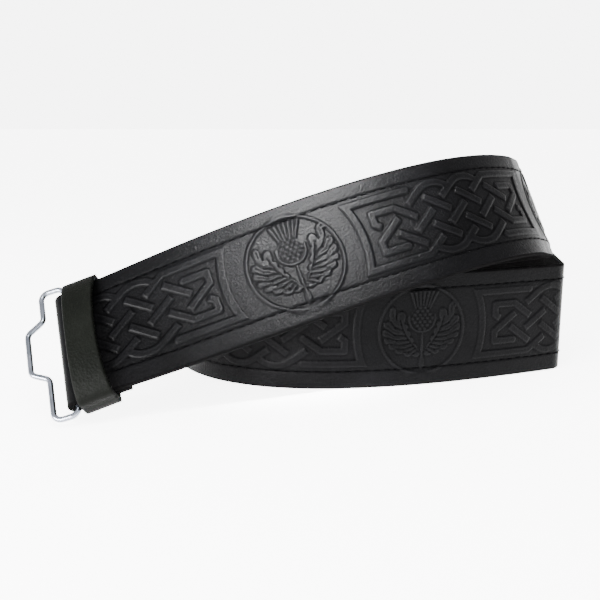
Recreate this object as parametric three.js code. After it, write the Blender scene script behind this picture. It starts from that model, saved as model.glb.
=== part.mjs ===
import * as THREE from 'three';

// A wide leather kilt belt, loosely coiled and standing on its lower edge.
// One end is folded round the bar of a bent wire buckle frame and held by a leather keeper.
// From there the front run climbs to the right over the coil, turns away, comes down to the
// floor behind, turns again on the left and passes along the front under the first run.
// Millimetres, +Z up, the front of the coil faces -Y and the wire frame is at the -X end.

const strap = {
  width: 57,
  thickness: 3,
  edgeBevel: 0.6,
};

const fold = {
  barClearance: 0.3,
  layerGap: 0.3,
  closingLength: 14,
  tailLength: 24,
  turnSteps: 8,
  skewDegrees: 4.2,
  skewFadeStart: 30,
  skewFadeLength: 50,
};

const wire = {
  diameter: 2.6,
  sideGap: 2.4,
  slide: 1.2,
  shoulderGap: 5.4,
  shoulderBend: 4,
  bumpReach: 8.2,
  bumpOffset: 3,
  bumpHalfTop: 10.5,
  bumpSlope: 5,
  bumpBend: 3.6,
  bendStepDegrees: 18,
  sides: 10,
};

const keeper = {
  width: 16,
  thickness: 2.4,
  edgeBevel: 0.6,
  barGap: 0.6,
  clearance: 0.5,
  waist: 2.5,
  bow: 5,
  sections: 72,
};

// Half of the keeper's loop, from the middle of its bowed front round to the middle of its back.
// Each row is a distance out from where the front or the back would lie flat on the layers, as a
// share of the bow, and a height as a share of the loop's half height, with a step off it as a
// share of the bow.
const keeperTable = [
  { isFront: true, outward: 1.0, heightShare: 0.0, step: 0.0 },
  { isFront: true, outward: 0.92, heightShare: 0.45, step: 0.0 },
  { isFront: true, outward: 0.54, heightShare: 0.8, step: 0.0 },
  { isFront: true, outward: -0.08, heightShare: 1.0, step: -0.1 },
  { isFront: true, outward: -0.96, heightShare: 1.0, step: 0.02 },
  { isFront: false, outward: 0.48, heightShare: 1.0, step: 0.0 },
  { isFront: false, outward: 0.0, heightShare: 1.0, step: -0.64 },
  { isFront: false, outward: -0.04, heightShare: 0.45, step: 0.0 },
  { isFront: false, outward: -0.04, heightShare: 0.0, step: 0.0 },
];

// Where the front run crosses over the corner of the lower run: the foot of the strap there,
// how far it stands above the lower run's top edge, and the strap's direction and lean.
const crossing = {
  x: 127.6,
  y: -44.8,
  lift: 4.8,
  headingDegrees: 57.9,
  pitchDegrees: -9.7,
  leanDegrees: -27.5,
};
const frontRunLength = 251.6;

// The sharp corner at the right end of the lower run.
const corner = {
  x: 134.6,
  y: -40.2,
  headingDegrees: 24,
  turnDegrees: 58,
  turnRadius: 7.4,
};
const lowerRunLength = 245;

// The far end of the belt goes on behind the corner, round the outside of the coil.
const farEnd = {
  straight: 46,
  turnDegrees: 52,
  turnRadius: 78,
  end: 24,
};

// The back run is a smooth curve between the two ends that it joins.
const backRun = {
  leaveReach: 38,
  arriveReach: 66,
  uprightShare: 0.7,
  samples: 400,
};

const pace = 6;
const cornerPace = 1.2;
const substeps = 6;
const hundred = 100;
const rightAngle = Math.PI / 2;
const up = new THREE.Vector3(0, 0, 1);
const radians = THREE.MathUtils.degToRad;
const barRadius = wire.diameter / 2;
const foldRadius = barRadius + fold.barClearance + strap.thickness / 2;
const skew = Math.tan(radians(fold.skewDegrees));

// Bends and twists of the front run, from the crossing back to the fold.
// Each is in degrees for 100 mm of strap, at a share of the run's length.
const frontRunTable = [
  { share: 0.0, bend: 76, twist: 24 },
  { share: 0.07, bend: 65, twist: 8 },
  { share: 0.19, bend: 48, twist: -6 },
  { share: 0.33, bend: 26, twist: -0.5 },
  { share: 0.505, bend: 18.5, twist: 6 },
  { share: 0.685, bend: 6.5, twist: 12 },
  { share: 0.865, bend: -4.5, twist: 22 },
  { share: 1.0, bend: 8, twist: 16 },
];

// Bends of the lower run, from its corner back round the left of the coil.
const lowerRunTable = [
  { share: 0.0, bend: 9, twist: 0 },
  { share: 0.18, bend: 9, twist: 0 },
  { share: 0.3, bend: 20, twist: 0 },
  { share: 0.44, bend: 26, twist: 0 },
  { share: 0.54, bend: 46, twist: 0 },
  { share: 0.64, bend: 70, twist: 0 },
  { share: 0.74, bend: 84, twist: 0 },
  { share: 1.0, bend: 92, twist: 0 },
];

// How far the back run is drawn out to the right of the coil's middle and out behind it.
const coil = {
  reach: 142,
  depth: 149,
};

// The points that draw the back run out behind the coil: shares of the coil's reach and depth,
// and the share of the fall from the crossing's height down to the floor that is still left there.
const backRunPulls = [
  { reachShare: 1.0, depthShare: 0.282, heightLeft: 0.85 },
  { reachShare: 0.845, depthShare: 0.8725, heightLeft: 0.5 },
  { reachShare: -0.049, depthShare: 1.0, heightLeft: 0.0 },
];

// A frame on the strap: its centre point, the way along, the way up its width, and the face side.
function makeFrame(point, along, across) {
  const facing = new THREE.Vector3().crossVectors(along, across);
  return { point: point.clone(), along: along.clone(), across: across.clone(), facing };
}

function frameFromAngles(point, headingDegrees, pitchDegrees, leanDegrees) {
  const heading = radians(headingDegrees);
  const pitch = radians(pitchDegrees);
  const lean = radians(leanDegrees);
  const level = new THREE.Vector3(Math.cos(heading), Math.sin(heading), 0);
  const along = level.clone().multiplyScalar(Math.cos(pitch)).addScaledVector(up, Math.sin(pitch));
  const upright = level.clone().multiplyScalar(-Math.sin(pitch)).addScaledVector(up, Math.cos(pitch));
  const side = new THREE.Vector3().crossVectors(along, upright);
  const across = upright.multiplyScalar(Math.cos(lean)).addScaledVector(side, Math.sin(lean));
  return makeFrame(point, along, across);
}

function turned(frame, bend, twist) {
  const turn = new THREE.Vector3();
  turn.addScaledVector(frame.across, bend).addScaledVector(frame.along, twist);
  const angle = turn.length();
  if (angle === 0) {
    return makeFrame(frame.point, frame.along, frame.across);
  }
  const spin = new THREE.Quaternion().setFromAxisAngle(turn.normalize(), angle);
  const along = frame.along.clone().applyQuaternion(spin);
  const across = frame.across.clone().applyQuaternion(spin);
  return makeFrame(frame.point, along, across);
}

function stepped(frame, distance, bend, twist) {
  const half = turned(frame, bend / 2, twist / 2);
  const next = turned(frame, bend, twist);
  next.point.addScaledVector(half.along, distance);
  return next;
}

function valueAt(table, share, column) {
  const after = Math.max(1, table.findIndex((row) => row.share >= share));
  const low = table[after - 1];
  const high = table[after];
  const part = (share - low.share) / (high.share - low.share);
  return THREE.MathUtils.lerp(low[column], high[column], part);
}

// Walks along the strap from a frame by a table of bends, forwards (+1) or backwards (-1).
function walk(start, table, length, way) {
  const kept = Math.ceil(length / pace);
  const steps = kept * substeps;
  const stepLength = length / steps;
  const frames = [start];
  let frame = start;
  for (let step = 0; step < steps; step += 1) {
    const share = (step + 0.5) / steps;
    const bend = (radians(valueAt(table, share, 'bend')) * stepLength) / hundred;
    const twist = (radians(valueAt(table, share, 'twist')) * stepLength) / hundred;
    frame = stepped(frame, way * stepLength, way * bend, way * twist);
    if ((step + 1) % substeps === 0) {
      frames.push(frame);
    }
  }
  return frames;
}

function straightRun(start, length) {
  return walk(start, [{ share: 0, bend: 0, twist: 0 }, { share: 1, bend: 0, twist: 0 }], length, 1);
}

function roundTurn(start, turnDegrees, radius, spacing) {
  const angle = radians(turnDegrees);
  const count = Math.ceil((angle * radius) / spacing);
  const frames = [start];
  for (let step = 0; step < count; step += 1) {
    const chord = 2 * radius * Math.sin(angle / count / 2);
    frames.push(stepped(frames[step], chord, angle / count, 0));
  }
  return frames;
}

function frontRun() {
  const foot = new THREE.Vector3(crossing.x, crossing.y, strap.width + crossing.lift);
  const { headingDegrees, pitchDegrees, leanDegrees } = crossing;
  const start = frameFromAngles(foot, headingDegrees, pitchDegrees, leanDegrees);
  start.point.addScaledVector(start.across, strap.width / 2);
  return walk(start, frontRunTable, frontRunLength, -1).reverse();
}

function cornerFrame() {
  const foot = new THREE.Vector3(corner.x, corner.y, strap.width / 2);
  return frameFromAngles(foot, corner.headingDegrees, 0, 0);
}

function lowerRun() {
  return walk(cornerFrame(), lowerRunTable, lowerRunLength, -1).reverse();
}

function farEndFrames() {
  const sharp = roundTurn(cornerFrame(), corner.turnDegrees, corner.turnRadius, cornerPace);
  const back = straightRun(sharp.at(-1), farEnd.straight);
  const turn = roundTurn(back.at(-1), farEnd.turnDegrees, farEnd.turnRadius, pace);
  const end = straightRun(turn.at(-1), farEnd.end);
  return [...sharp.slice(1), ...back.slice(1), ...turn.slice(1), ...end.slice(1)];
}

// A Bezier curve through any number of control points, by repeated halving of the way.
function bezierPoint(controls, share) {
  let points = controls;
  while (points.length > 2) {
    points = points.slice(1).map((point, index) => points[index].clone().lerp(point, share));
  }
  const along = points[1].clone().sub(points[0]).normalize();
  return { point: points[0].clone().lerp(points[1], share), along };
}

function backRunFrames(from, to) {
  const leave = from.point.clone().addScaledVector(from.along, backRun.leaveReach);
  const arrive = to.point.clone().addScaledVector(to.along, -backRun.arriveReach);
  const fall = from.point.z - to.point.z;
  const pulls = backRunPulls.map((pull) => {
    const height = to.point.z + fall * pull.heightLeft;
    return new THREE.Vector3(pull.reachShare * coil.reach, pull.depthShare * coil.depth, height);
  });
  const controls = [from.point, leave, ...pulls, arrive, to.point];
  const path = [];
  let length = 0;
  for (let index = 0; index <= backRun.samples; index += 1) {
    const sample = bezierPoint(controls, index / backRun.samples);
    if (index > 0) {
      length += sample.point.distanceTo(path[index - 1].point);
    }
    path.push({ ...sample, distance: length });
  }
  const count = Math.ceil(length / pace);
  const frames = [];
  for (let index = 1; index < count; index += 1) {
    const sample = path.find((item) => item.distance >= (length * index) / count);
    const done = Math.min(1, sample.distance / length / backRun.uprightShare);
    const across = from.across.clone().lerp(up, THREE.MathUtils.smoothstep(done, 0, 1));
    across.addScaledVector(sample.along, -across.dot(sample.along)).normalize();
    frames.push(makeFrame(sample.point, sample.along, across));
  }
  return frames;
}

// How far the askew cut of the folded end shifts the strap, faded out along it.
function skewAt(distance) {
  const done = (distance - fold.skewFadeStart) / fold.skewFadeLength;
  return skew * (1 - THREE.MathUtils.smoothstep(done, 0, 1));
}

// The strap's cross-section with bevelled edges, as distances from its centre.
function strapOutline() {
  const half = strap.thickness / 2;
  const side = strap.width / 2;
  const bevel = strap.edgeBevel;
  return [
    [half, side - bevel], [half - bevel, side],
    [bevel - half, side], [-half, side - bevel],
    [-half, bevel - side], [bevel - half, -side],
    [half - bevel, -side], [half, bevel - side],
  ];
}

function section(frame, outline, shiftAlong, shiftRate) {
  return outline.map(([depth, rise]) => {
    const point = frame.point.clone();
    point.addScaledVector(frame.facing, depth);
    point.addScaledVector(frame.across, rise);
    return point.addScaledVector(shiftAlong, rise * shiftRate);
  });
}

// A closed skin over a row of sections that all have the same number of points.
function skin(sections, isLoop) {
  const size = sections[0].length;
  const points = sections.flat();
  const faces = [];
  const spans = isLoop ? sections.length : sections.length - 1;
  for (let span = 0; span < spans; span += 1) {
    const here = span * size;
    const next = ((span + 1) % sections.length) * size;
    for (let index = 0; index < size; index += 1) {
      const beside = (index + 1) % size;
      faces.push(here + index, next + index, next + beside);
      faces.push(here + index, next + beside, here + beside);
    }
  }
  if (!isLoop) {
    const last = (sections.length - 1) * size;
    for (let index = 1; index < size - 1; index += 1) {
      faces.push(0, index, index + 1);
      faces.push(last, last + index + 1, last + index);
    }
  }
  const geometry = new THREE.BufferGeometry();
  const positions = points.flatMap((point) => point.toArray());
  geometry.setAttribute('position', new THREE.Float32BufferAttribute(positions, 3));
  geometry.setIndex(faces);
  geometry.computeVertexNormals();
  return geometry;
}

// The folded end: the tail behind the front run, then the half turn round the bar.
function foldSections(frames, distances) {
  const outline = strapOutline();
  const tailDepth = strap.thickness + fold.layerGap;
  const sections = [];
  const tail = frames.filter((frame, index) => distances[index] <= fold.tailLength);
  for (let index = tail.length - 1; index >= 0; index -= 1) {
    const distance = distances[index];
    const closed = THREE.MathUtils.smoothstep(distance, barRadius, fold.closingLength);
    const depth = THREE.MathUtils.lerp(2 * foldRadius, tailDepth, closed);
    const back = turned(frames[index], 0, 0);
    back.point.addScaledVector(back.facing, -depth);
    back.along.negate();
    back.facing.negate();
    sections.push(section(back, outline, frames[index].along, skewAt(distance)));
  }
  const bar = barFrame(frames);
  for (let index = 1; index < fold.turnSteps; index += 1) {
    const angle = -rightAngle + (Math.PI * index) / fold.turnSteps;
    const facing = new THREE.Vector3();
    facing.addScaledVector(bar.along, -Math.cos(angle)).addScaledVector(bar.facing, Math.sin(angle));
    const point = bar.point.clone().addScaledVector(facing, foldRadius);
    const round = { point, facing, across: bar.across };
    sections.push(section(round, outline, bar.along, skewAt(0)));
  }
  return sections;
}

function barFrame(frames) {
  const bar = makeFrame(frames[0].point, frames[0].along, frames[0].across);
  bar.point.addScaledVector(bar.facing, -foldRadius);
  return bar;
}

function strapMesh(frames, distances) {
  const outline = strapOutline();
  const run = frames.map((frame, index) => section(frame, outline, frame.along, skewAt(distances[index])));
  const geometry = skin([...foldSections(frames, distances), ...run], false);
  const material = new THREE.MeshStandardMaterial({ color: 0x1d1d20, roughness: 0.5, metalness: 0 });
  const mesh = new THREE.Mesh(geometry, material);
  mesh.name = 'strap';
  return mesh;
}

// The keeper's loop round the folded layers, as distances towards the face and up the width.
function keeperLoop() {
  const half = keeper.thickness / 2;
  const side = strap.width / 2 + keeper.clearance + half;
  const front = strap.thickness / 2 + keeper.clearance + half;
  const back = -(2 * foldRadius + strap.thickness / 2 + keeper.clearance + half);
  const upper = keeperTable.map((row) => {
    const depth = (row.isFront ? front : back) + row.outward * keeper.bow;
    return new THREE.Vector3(depth, row.heightShare * side + row.step * keeper.bow, 0);
  });
  const lower = upper.slice(1, -1).reverse().map((point) => new THREE.Vector3(point.x, -point.y, 0));
  return new THREE.CatmullRomCurve3([...upper, ...lower], true, 'centripetal');
}

// The keeper's band in section, as distances out of the loop and along the strap from the bar.
function keeperOutline() {
  const half = keeper.thickness / 2;
  const bevel = keeper.edgeBevel;
  const near = barRadius + keeper.barGap;
  const far = near + keeper.width;
  return [
    [half, near + bevel], [half - bevel, near],
    [bevel - half, near], [-half, near + bevel],
    [-half, far - bevel], [bevel - half, far],
    [half - bevel, far], [half, far - bevel],
  ];
}

function keeperMesh(bar) {
  const loop = keeperLoop();
  const outline = keeperOutline();
  const middleReach = barRadius + keeper.barGap + keeper.width / 2;
  const sideHeight = strap.width / 2 + keeper.clearance + keeper.thickness;
  const base = bar.point.clone().addScaledVector(bar.facing, foldRadius);
  const sections = [];
  for (let index = 0; index < keeper.sections; index += 1) {
    const share = index / keeper.sections;
    const centre = loop.getPoint(share);
    const way = loop.getTangent(share);
    sections.push(outline.map(([rise, reach]) => {
      const depth = centre.x + way.y * rise;
      const height = centre.y - way.x * rise;
      const waist = reach > middleReach ? keeper.waist * (1 - (height / sideHeight) ** 2) : 0;
      const point = base.clone().addScaledVector(bar.facing, depth);
      point.addScaledVector(bar.across, height);
      return point.addScaledVector(bar.along, reach - waist + height * skew);
    }));
  }
  const material = new THREE.MeshStandardMaterial({ color: 0x222320, roughness: 0.6, metalness: 0 });
  const mesh = new THREE.Mesh(skin(sections, true), material);
  mesh.name = 'keeper';
  return mesh;
}

// The wire's corners in its own plane: out from the bar and up along it, with a bend radius.
function wireCorners() {
  const leg = strap.width / 2 + wire.slide + wire.sideGap + barRadius;
  const shoulder = foldRadius + strap.thickness / 2 + wire.shoulderGap + barRadius;
  const bump = shoulder + wire.bumpReach;
  const top = wire.bumpHalfTop;
  const foot = top + wire.bumpSlope;
  const barBend = wire.sideGap + barRadius;
  return [
    { out: 0, rise: leg, radius: barBend },
    { out: shoulder, rise: leg, radius: wire.shoulderBend },
    { out: shoulder, rise: wire.bumpOffset + foot, radius: wire.bumpBend },
    { out: bump, rise: wire.bumpOffset + top, radius: wire.bumpBend },
    { out: bump, rise: wire.bumpOffset - top, radius: wire.bumpBend },
    { out: shoulder, rise: wire.bumpOffset - foot, radius: wire.bumpBend },
    { out: shoulder, rise: -leg, radius: wire.shoulderBend },
    { out: 0, rise: -leg, radius: barBend },
  ];
}

// The wire's centre line: straight between the corners, with a round bend at each.
function wireCentreLine() {
  const corners = wireCorners().map((item) => ({ ...item, at: new THREE.Vector2(item.out, item.rise) }));
  const line = [];
  corners.forEach((item, index) => {
    const before = corners.at(index - 1).at.clone().sub(item.at).normalize();
    const after = corners[(index + 1) % corners.length].at.clone().sub(item.at).normalize();
    const halfOpen = Math.acos(before.dot(after)) / 2;
    const middle = before.clone().add(after).normalize();
    const centre = item.at.clone().addScaledVector(middle, item.radius / Math.sin(halfOpen));
    const sweep = Math.PI - 2 * halfOpen;
    const inward = middle.clone().negate();
    const side = Math.sign(before.x * after.y - before.y * after.x);
    const steps = Math.max(2, Math.round(sweep / radians(wire.bendStepDegrees)));
    for (let step = 0; step <= steps; step += 1) {
      const angle = side * (step / steps - 0.5) * -sweep;
      const arm = inward.clone().rotateAround(new THREE.Vector2(), angle);
      line.push(centre.clone().addScaledVector(arm, item.radius));
    }
  });
  return line;
}

// A round ring of points about one place on the wire's centre line.
function wireRing(middle, outward, axis, facing, point, aside) {
  const ring = [];
  for (let side = 0; side < wire.sides; side += 1) {
    const angle = (2 * Math.PI * side) / wire.sides;
    const inPlane = Math.cos(angle) * barRadius;
    const spot = middle.clone().addScaledVector(outward, point.x + aside.x * inPlane);
    spot.addScaledVector(axis, point.y + aside.y * inPlane);
    ring.push(spot.addScaledVector(facing, Math.sin(angle) * barRadius));
  }
  return ring;
}

function wireMesh(bar) {
  const axis = bar.across.clone().addScaledVector(bar.along, skew).normalize();
  const outward = new THREE.Vector3().crossVectors(bar.facing, axis);
  const middle = bar.point.clone().addScaledVector(axis, wire.slide);
  const line = wireCentreLine();
  const sections = line.map((point, index) => {
    const on = line[(index + 1) % line.length].clone().sub(point).normalize();
    const way = point.clone().sub(line.at(index - 1)).normalize().add(on).normalize();
    const aside = new THREE.Vector2(-way.y, way.x);
    return wireRing(middle, outward, axis, bar.facing, point, aside);
  });
  const material = new THREE.MeshStandardMaterial({ color: 0xc8cbd0, roughness: 0.25, metalness: 1 });
  const mesh = new THREE.Mesh(skin(sections, true), material);
  mesh.name = 'wire_frame';
  return mesh;
}

const front = frontRun();
const lower = lowerRun();
const back = backRunFrames(front.at(-1), lower[0]);
const frames = [...front, ...back, ...lower, ...farEndFrames()];
const distances = [0];
for (let index = 1; index < frames.length; index += 1) {
  distances.push(distances[index - 1] + frames[index].point.distanceTo(frames[index - 1].point));
}

const belt = new THREE.Group();
belt.name = 'kilt_belt';
belt.add(strapMesh(frames, distances));
belt.add(keeperMesh(barFrame(frames)));
belt.add(wireMesh(barFrame(frames)));

// The origin is on the floor, under the middle of the belt's bounding box.
const bounds = new THREE.Box3().setFromObject(belt);
const middle = bounds.getCenter(new THREE.Vector3());
belt.children.forEach((mesh) => mesh.geometry.translate(-middle.x, -middle.y, -bounds.min.z));

export default belt;
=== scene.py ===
import math

import bpy
import numpy as np
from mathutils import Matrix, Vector


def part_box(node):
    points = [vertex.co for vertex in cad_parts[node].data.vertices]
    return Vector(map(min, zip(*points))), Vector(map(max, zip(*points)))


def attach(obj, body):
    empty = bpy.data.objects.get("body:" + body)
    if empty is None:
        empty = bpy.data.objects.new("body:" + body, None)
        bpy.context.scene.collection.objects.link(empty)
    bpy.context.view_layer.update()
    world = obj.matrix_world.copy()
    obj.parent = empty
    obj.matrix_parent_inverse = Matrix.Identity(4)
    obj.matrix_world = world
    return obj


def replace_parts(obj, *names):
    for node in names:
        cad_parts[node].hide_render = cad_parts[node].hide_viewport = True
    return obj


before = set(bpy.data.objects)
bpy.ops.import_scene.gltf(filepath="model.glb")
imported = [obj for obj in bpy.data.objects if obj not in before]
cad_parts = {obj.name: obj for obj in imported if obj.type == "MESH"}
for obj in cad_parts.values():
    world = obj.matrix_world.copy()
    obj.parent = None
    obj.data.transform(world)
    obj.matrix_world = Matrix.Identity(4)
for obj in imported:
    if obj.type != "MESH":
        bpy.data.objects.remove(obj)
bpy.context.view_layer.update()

# The strap's route, in millimetres, as the CAD part builds it.
STRAP = {"width": 57.0, "thickness": 3.0}
FOLD = {
    "bar_clearance": 0.3, "layer_gap": 0.3, "closing_length": 14.0, "tail_length": 24.0,
    "skew_degrees": 4.2, "skew_fade_start": 30.0, "skew_fade_length": 50.0,
}
WIRE = {
    "diameter": 2.6, "side_gap": 2.4, "slide": 1.2, "shoulder_gap": 5.4, "shoulder_bend": 4.0,
    "bump_reach": 8.2, "bump_offset": 3.0, "bump_half_top": 10.5, "bump_slope": 5.0, "bump_bend": 3.6,
}
KEEPER = {"width": 16.0, "thickness": 2.4, "bar_gap": 0.6, "clearance": 0.5, "waist": 2.5, "bow": 5.0}
# Front or back, distance outward as a share of the bow, share of the half height, step as a share of the bow.
KEEPER_TABLE = [
    (True, 1.0, 0.0, 0.0), (True, 0.92, 0.45, 0.0), (True, 0.54, 0.8, 0.0), (True, -0.08, 1.0, -0.1),
    (True, -0.96, 1.0, 0.02), (False, 0.48, 1.0, 0.0), (False, 0.0, 1.0, -0.64), (False, -0.04, 0.45, 0.0),
    (False, -0.04, 0.0, 0.0),
]
CROSSING = {"x": 127.6, "y": -44.8, "lift": 4.8, "heading": 57.9, "pitch": -9.7, "lean": -27.5}
FRONT_LENGTH = 251.6
# Share of the length, bend and twist in degrees for 100 mm.
FRONT_TABLE = [
    (0.0, 76, 24), (0.07, 65, 8), (0.19, 48, -6), (0.33, 26, -0.5), (0.505, 18.5, 6),
    (0.685, 6.5, 12), (0.865, -4.5, 22), (1.0, 8, 16),
]
CORNER = {"x": 134.6, "y": -40.2, "heading": 24.0, "turn": 58.0, "radius": 7.4}
LOWER_LENGTH = 245.0
LOWER_TABLE = [
    (0.0, 9, 0), (0.18, 9, 0), (0.3, 20, 0), (0.44, 26, 0), (0.54, 46, 0), (0.64, 70, 0),
    (0.74, 84, 0), (1.0, 92, 0),
]
FAR_END = {"straight": 46.0, "turn": 52.0, "radius": 78.0, "end": 24.0}
BACK = {"leave": 38.0, "arrive": 66.0, "upright_share": 0.7, "samples": 400}
COIL = {"reach": 142.0, "depth": 149.0}
# Shares of the coil's reach and depth, and of the fall that is still left there.
BACK_PULLS = [(1.0, 0.282, 0.85), (0.845, 0.8725, 0.5), (-0.049, 1.0, 0.0)]
PACE = 6.0
CORNER_PACE = 1.2
SUBSTEPS = 6
CAD_BEVEL = 0.6
UP = np.array([0.0, 0.0, 1.0])
MM = 0.001

WIRE_STEPS = 14
WIRE_SIDES = 24
BAR_RADIUS = WIRE["diameter"] / 2
FOLD_RADIUS = BAR_RADIUS + FOLD["bar_clearance"] + STRAP["thickness"] / 2
SKEW = math.tan(math.radians(FOLD["skew_degrees"]))


def unit(vector):
    """The vector at a length of one."""
    return vector / np.linalg.norm(vector)


def unit_rows(vectors):
    """Each row's vector at a length of one."""
    return vectors / np.linalg.norm(vectors, axis=1)[:, None]


def smooth(value, low=0.0, high=1.0):
    """Rises softly from 0 at low to 1 at high."""
    share = np.clip((value - low) / (high - low), 0.0, 1.0)
    return share * share * (3 - 2 * share)


def make_frame(point, along, across):
    """A place on the strap: its point, its way along and its way across."""
    return np.array([point, along, across])


def frame_from_angles(point, heading, pitch, lean):
    heading, pitch, lean = (math.radians(angle) for angle in (heading, pitch, lean))
    level = np.array([math.cos(heading), math.sin(heading), 0.0])
    along = level * math.cos(pitch) + UP * math.sin(pitch)
    upright = UP * math.cos(pitch) - level * math.sin(pitch)
    side = np.cross(along, upright)
    return make_frame(point, along, upright * math.cos(lean) + side * math.sin(lean))


def spun(vector, axis, angle):
    """The vector turned round an axis."""
    turned = vector * math.cos(angle) + np.cross(axis, vector) * math.sin(angle)
    return turned + axis * np.dot(axis, vector) * (1 - math.cos(angle))


def turned(place, bend, twist):
    point, along, across = place
    turn = across * bend + along * twist
    angle = np.linalg.norm(turn)
    if angle == 0:
        return place.copy()
    axis = turn / angle
    return make_frame(point, spun(along, axis, angle), spun(across, axis, angle))


def stepped(place, distance, bend, twist):
    half = turned(place, bend / 2, twist / 2)
    after = turned(place, bend, twist)
    after[0] = place[0] + half[1] * distance
    return after


def walk(start, table, length, way, coarse):
    """Steps along the strap with the table's bend and twist. Coarse keeps the CAD part's places only."""
    shares, bends, twists = (np.array(column, float) for column in zip(*table))
    steps = math.ceil(length / PACE) * SUBSTEPS
    step_length = length / steps
    places = [start]
    place = start
    for step in range(steps):
        share = (step + 0.5) / steps
        bend = math.radians(np.interp(share, shares, bends)) * step_length / 100
        twist = math.radians(np.interp(share, shares, twists)) * step_length / 100
        place = stepped(place, way * step_length, way * bend, way * twist)
        if not coarse or (step + 1) % SUBSTEPS == 0:
            places.append(place)
    return places


def straight_run(start, length, coarse):
    return walk(start, [(0, 0, 0), (1, 0, 0)], length, 1, coarse)


def round_turn(start, degrees, radius, spacing):
    angle = math.radians(degrees)
    count = math.ceil(angle * radius / spacing)
    places = [start]
    for step in range(count):
        chord = 2 * radius * math.sin(angle / count / 2)
        places.append(stepped(places[step], chord, angle / count, 0))
    return places


def front_run(coarse):
    foot = np.array([CROSSING["x"], CROSSING["y"], STRAP["width"] + CROSSING["lift"]])
    start = frame_from_angles(foot, CROSSING["heading"], CROSSING["pitch"], CROSSING["lean"])
    start[0] += start[2] * STRAP["width"] / 2
    return walk(start, FRONT_TABLE, FRONT_LENGTH, -1, coarse)[::-1]


def corner_frame():
    foot = np.array([CORNER["x"], CORNER["y"], STRAP["width"] / 2])
    return frame_from_angles(foot, CORNER["heading"], 0, 0)


def far_end(coarse):
    sharp_spacing, wide_spacing = (CORNER_PACE, PACE) if coarse else (0.4, 1.0)
    sharp = round_turn(corner_frame(), CORNER["turn"], CORNER["radius"], sharp_spacing)
    back = straight_run(sharp[-1], FAR_END["straight"], coarse)
    turn = round_turn(back[-1], FAR_END["turn"], FAR_END["radius"], wide_spacing)
    return sharp[1:] + back[1:] + turn[1:] + straight_run(turn[-1], FAR_END["end"], coarse)[1:]


def bezier_place(controls, share):
    """The point and the way along at a share of a Bezier curve."""
    points = controls
    while len(points) > 2:
        points = points[:-1] + (points[1:] - points[:-1]) * share
    return points[0] + (points[1] - points[0]) * share, unit(points[1] - points[0])


def back_run(start, end, coarse):
    fall = start[0][2] - end[0][2]
    pulls = [(COIL["reach"] * x, COIL["depth"] * y, end[0][2] + fall * left) for x, y, left in BACK_PULLS]
    leave = start[0] + start[1] * BACK["leave"]
    arrive = end[0] - end[1] * BACK["arrive"]
    controls = np.array([start[0], leave, *pulls, arrive, end[0]])
    path = [bezier_place(controls, index / BACK["samples"]) for index in range(BACK["samples"] + 1)]
    steps = [np.linalg.norm(path[index + 1][0] - path[index][0]) for index in range(BACK["samples"])]
    distances = np.concatenate([[0.0], np.cumsum(steps)])
    length = distances[-1]
    if coarse:
        count = math.ceil(length / PACE)
        kept = [int(np.argmax(distances >= length * index / count)) for index in range(1, count)]
    else:
        kept = range(1, BACK["samples"])
    places = []
    for index in kept:
        point, along = path[index]
        raised = smooth(distances[index] / length / BACK["upright_share"])
        across = start[2] * (1 - raised) + UP * raised
        places.append(make_frame(point, along, unit(across - along * np.dot(across, along))))
    return places


def route(coarse):
    front = front_run(coarse)
    lower = walk(corner_frame(), LOWER_TABLE, LOWER_LENGTH, -1, coarse)[::-1]
    back = back_run(front[-1], lower[0], coarse)
    places = np.array(front + back + lower + far_end(coarse))
    steps = np.linalg.norm(np.diff(places[:, 0], axis=0), axis=1)
    return places, np.concatenate([[0.0], np.cumsum(steps)])


def skew_at(distance):
    """How far the way across leans along the strap, near the fold."""
    return SKEW * (1 - smooth((distance - FOLD["skew_fade_start"]) / FOLD["skew_fade_length"]))


def origin_shift():
    """How far the CAD part moved this route to put its origin under the middle of the belt."""
    places, distances = route(True)
    point, along, across = places[:, 0], places[:, 1], places[:, 2]
    facing = np.cross(along, across)
    half_width, half_thickness = STRAP["width"] / 2, STRAP["thickness"] / 2
    corners = []
    for depth, rise in (
        (half_thickness - CAD_BEVEL, half_width), (half_thickness, half_width - CAD_BEVEL),
        (CAD_BEVEL - half_thickness, half_width), (-half_thickness, half_width - CAD_BEVEL),
    ):
        for side in (1, -1):
            skewed = across + along * skew_at(distances)[:, None]
            corners.append(point + facing * depth + skewed * rise * side)
    corners = np.concatenate(corners)
    low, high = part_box("strap")
    return np.array([high[0] / MM - corners[:, 0].max(), high[1] / MM - corners[:, 1].max(), 0.0])


SHIFT = origin_shift()
PLACES, DISTANCES = route(False)
PLACES[:, 0] += SHIFT
BELT_LENGTH = DISTANCES[-1]
CORNER_START = BELT_LENGTH - (
    FAR_END["straight"] + FAR_END["end"] + math.radians(FAR_END["turn"]) * FAR_END["radius"]
    + math.radians(CORNER["turn"]) * CORNER["radius"]
)


def places_at(distances):
    """Points, ways along, ways across and facings at any distances from the bar."""
    flat = PLACES.reshape(len(PLACES), 9)
    found = np.stack([np.interp(distances, DISTANCES, flat[:, column]) for column in range(9)], axis=1)
    point, along, across = found[:, 0:3], found[:, 3:6], found[:, 6:9]
    along = unit_rows(along)
    across = unit_rows(across - along * np.sum(along * across, axis=1)[:, None])
    return point, along, across, np.cross(along, across)


# The photo's camera: degrees, millimetres, and its focal length in pixels of the photo.
CAMERA = {
    "elevation": 11.82, "distance": 479.5, "target": (0.08, 0.0, 29.31),
    "focal_pixels": 828.7, "image_pixels": 600.0, "sensor": 36.0,
}

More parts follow.
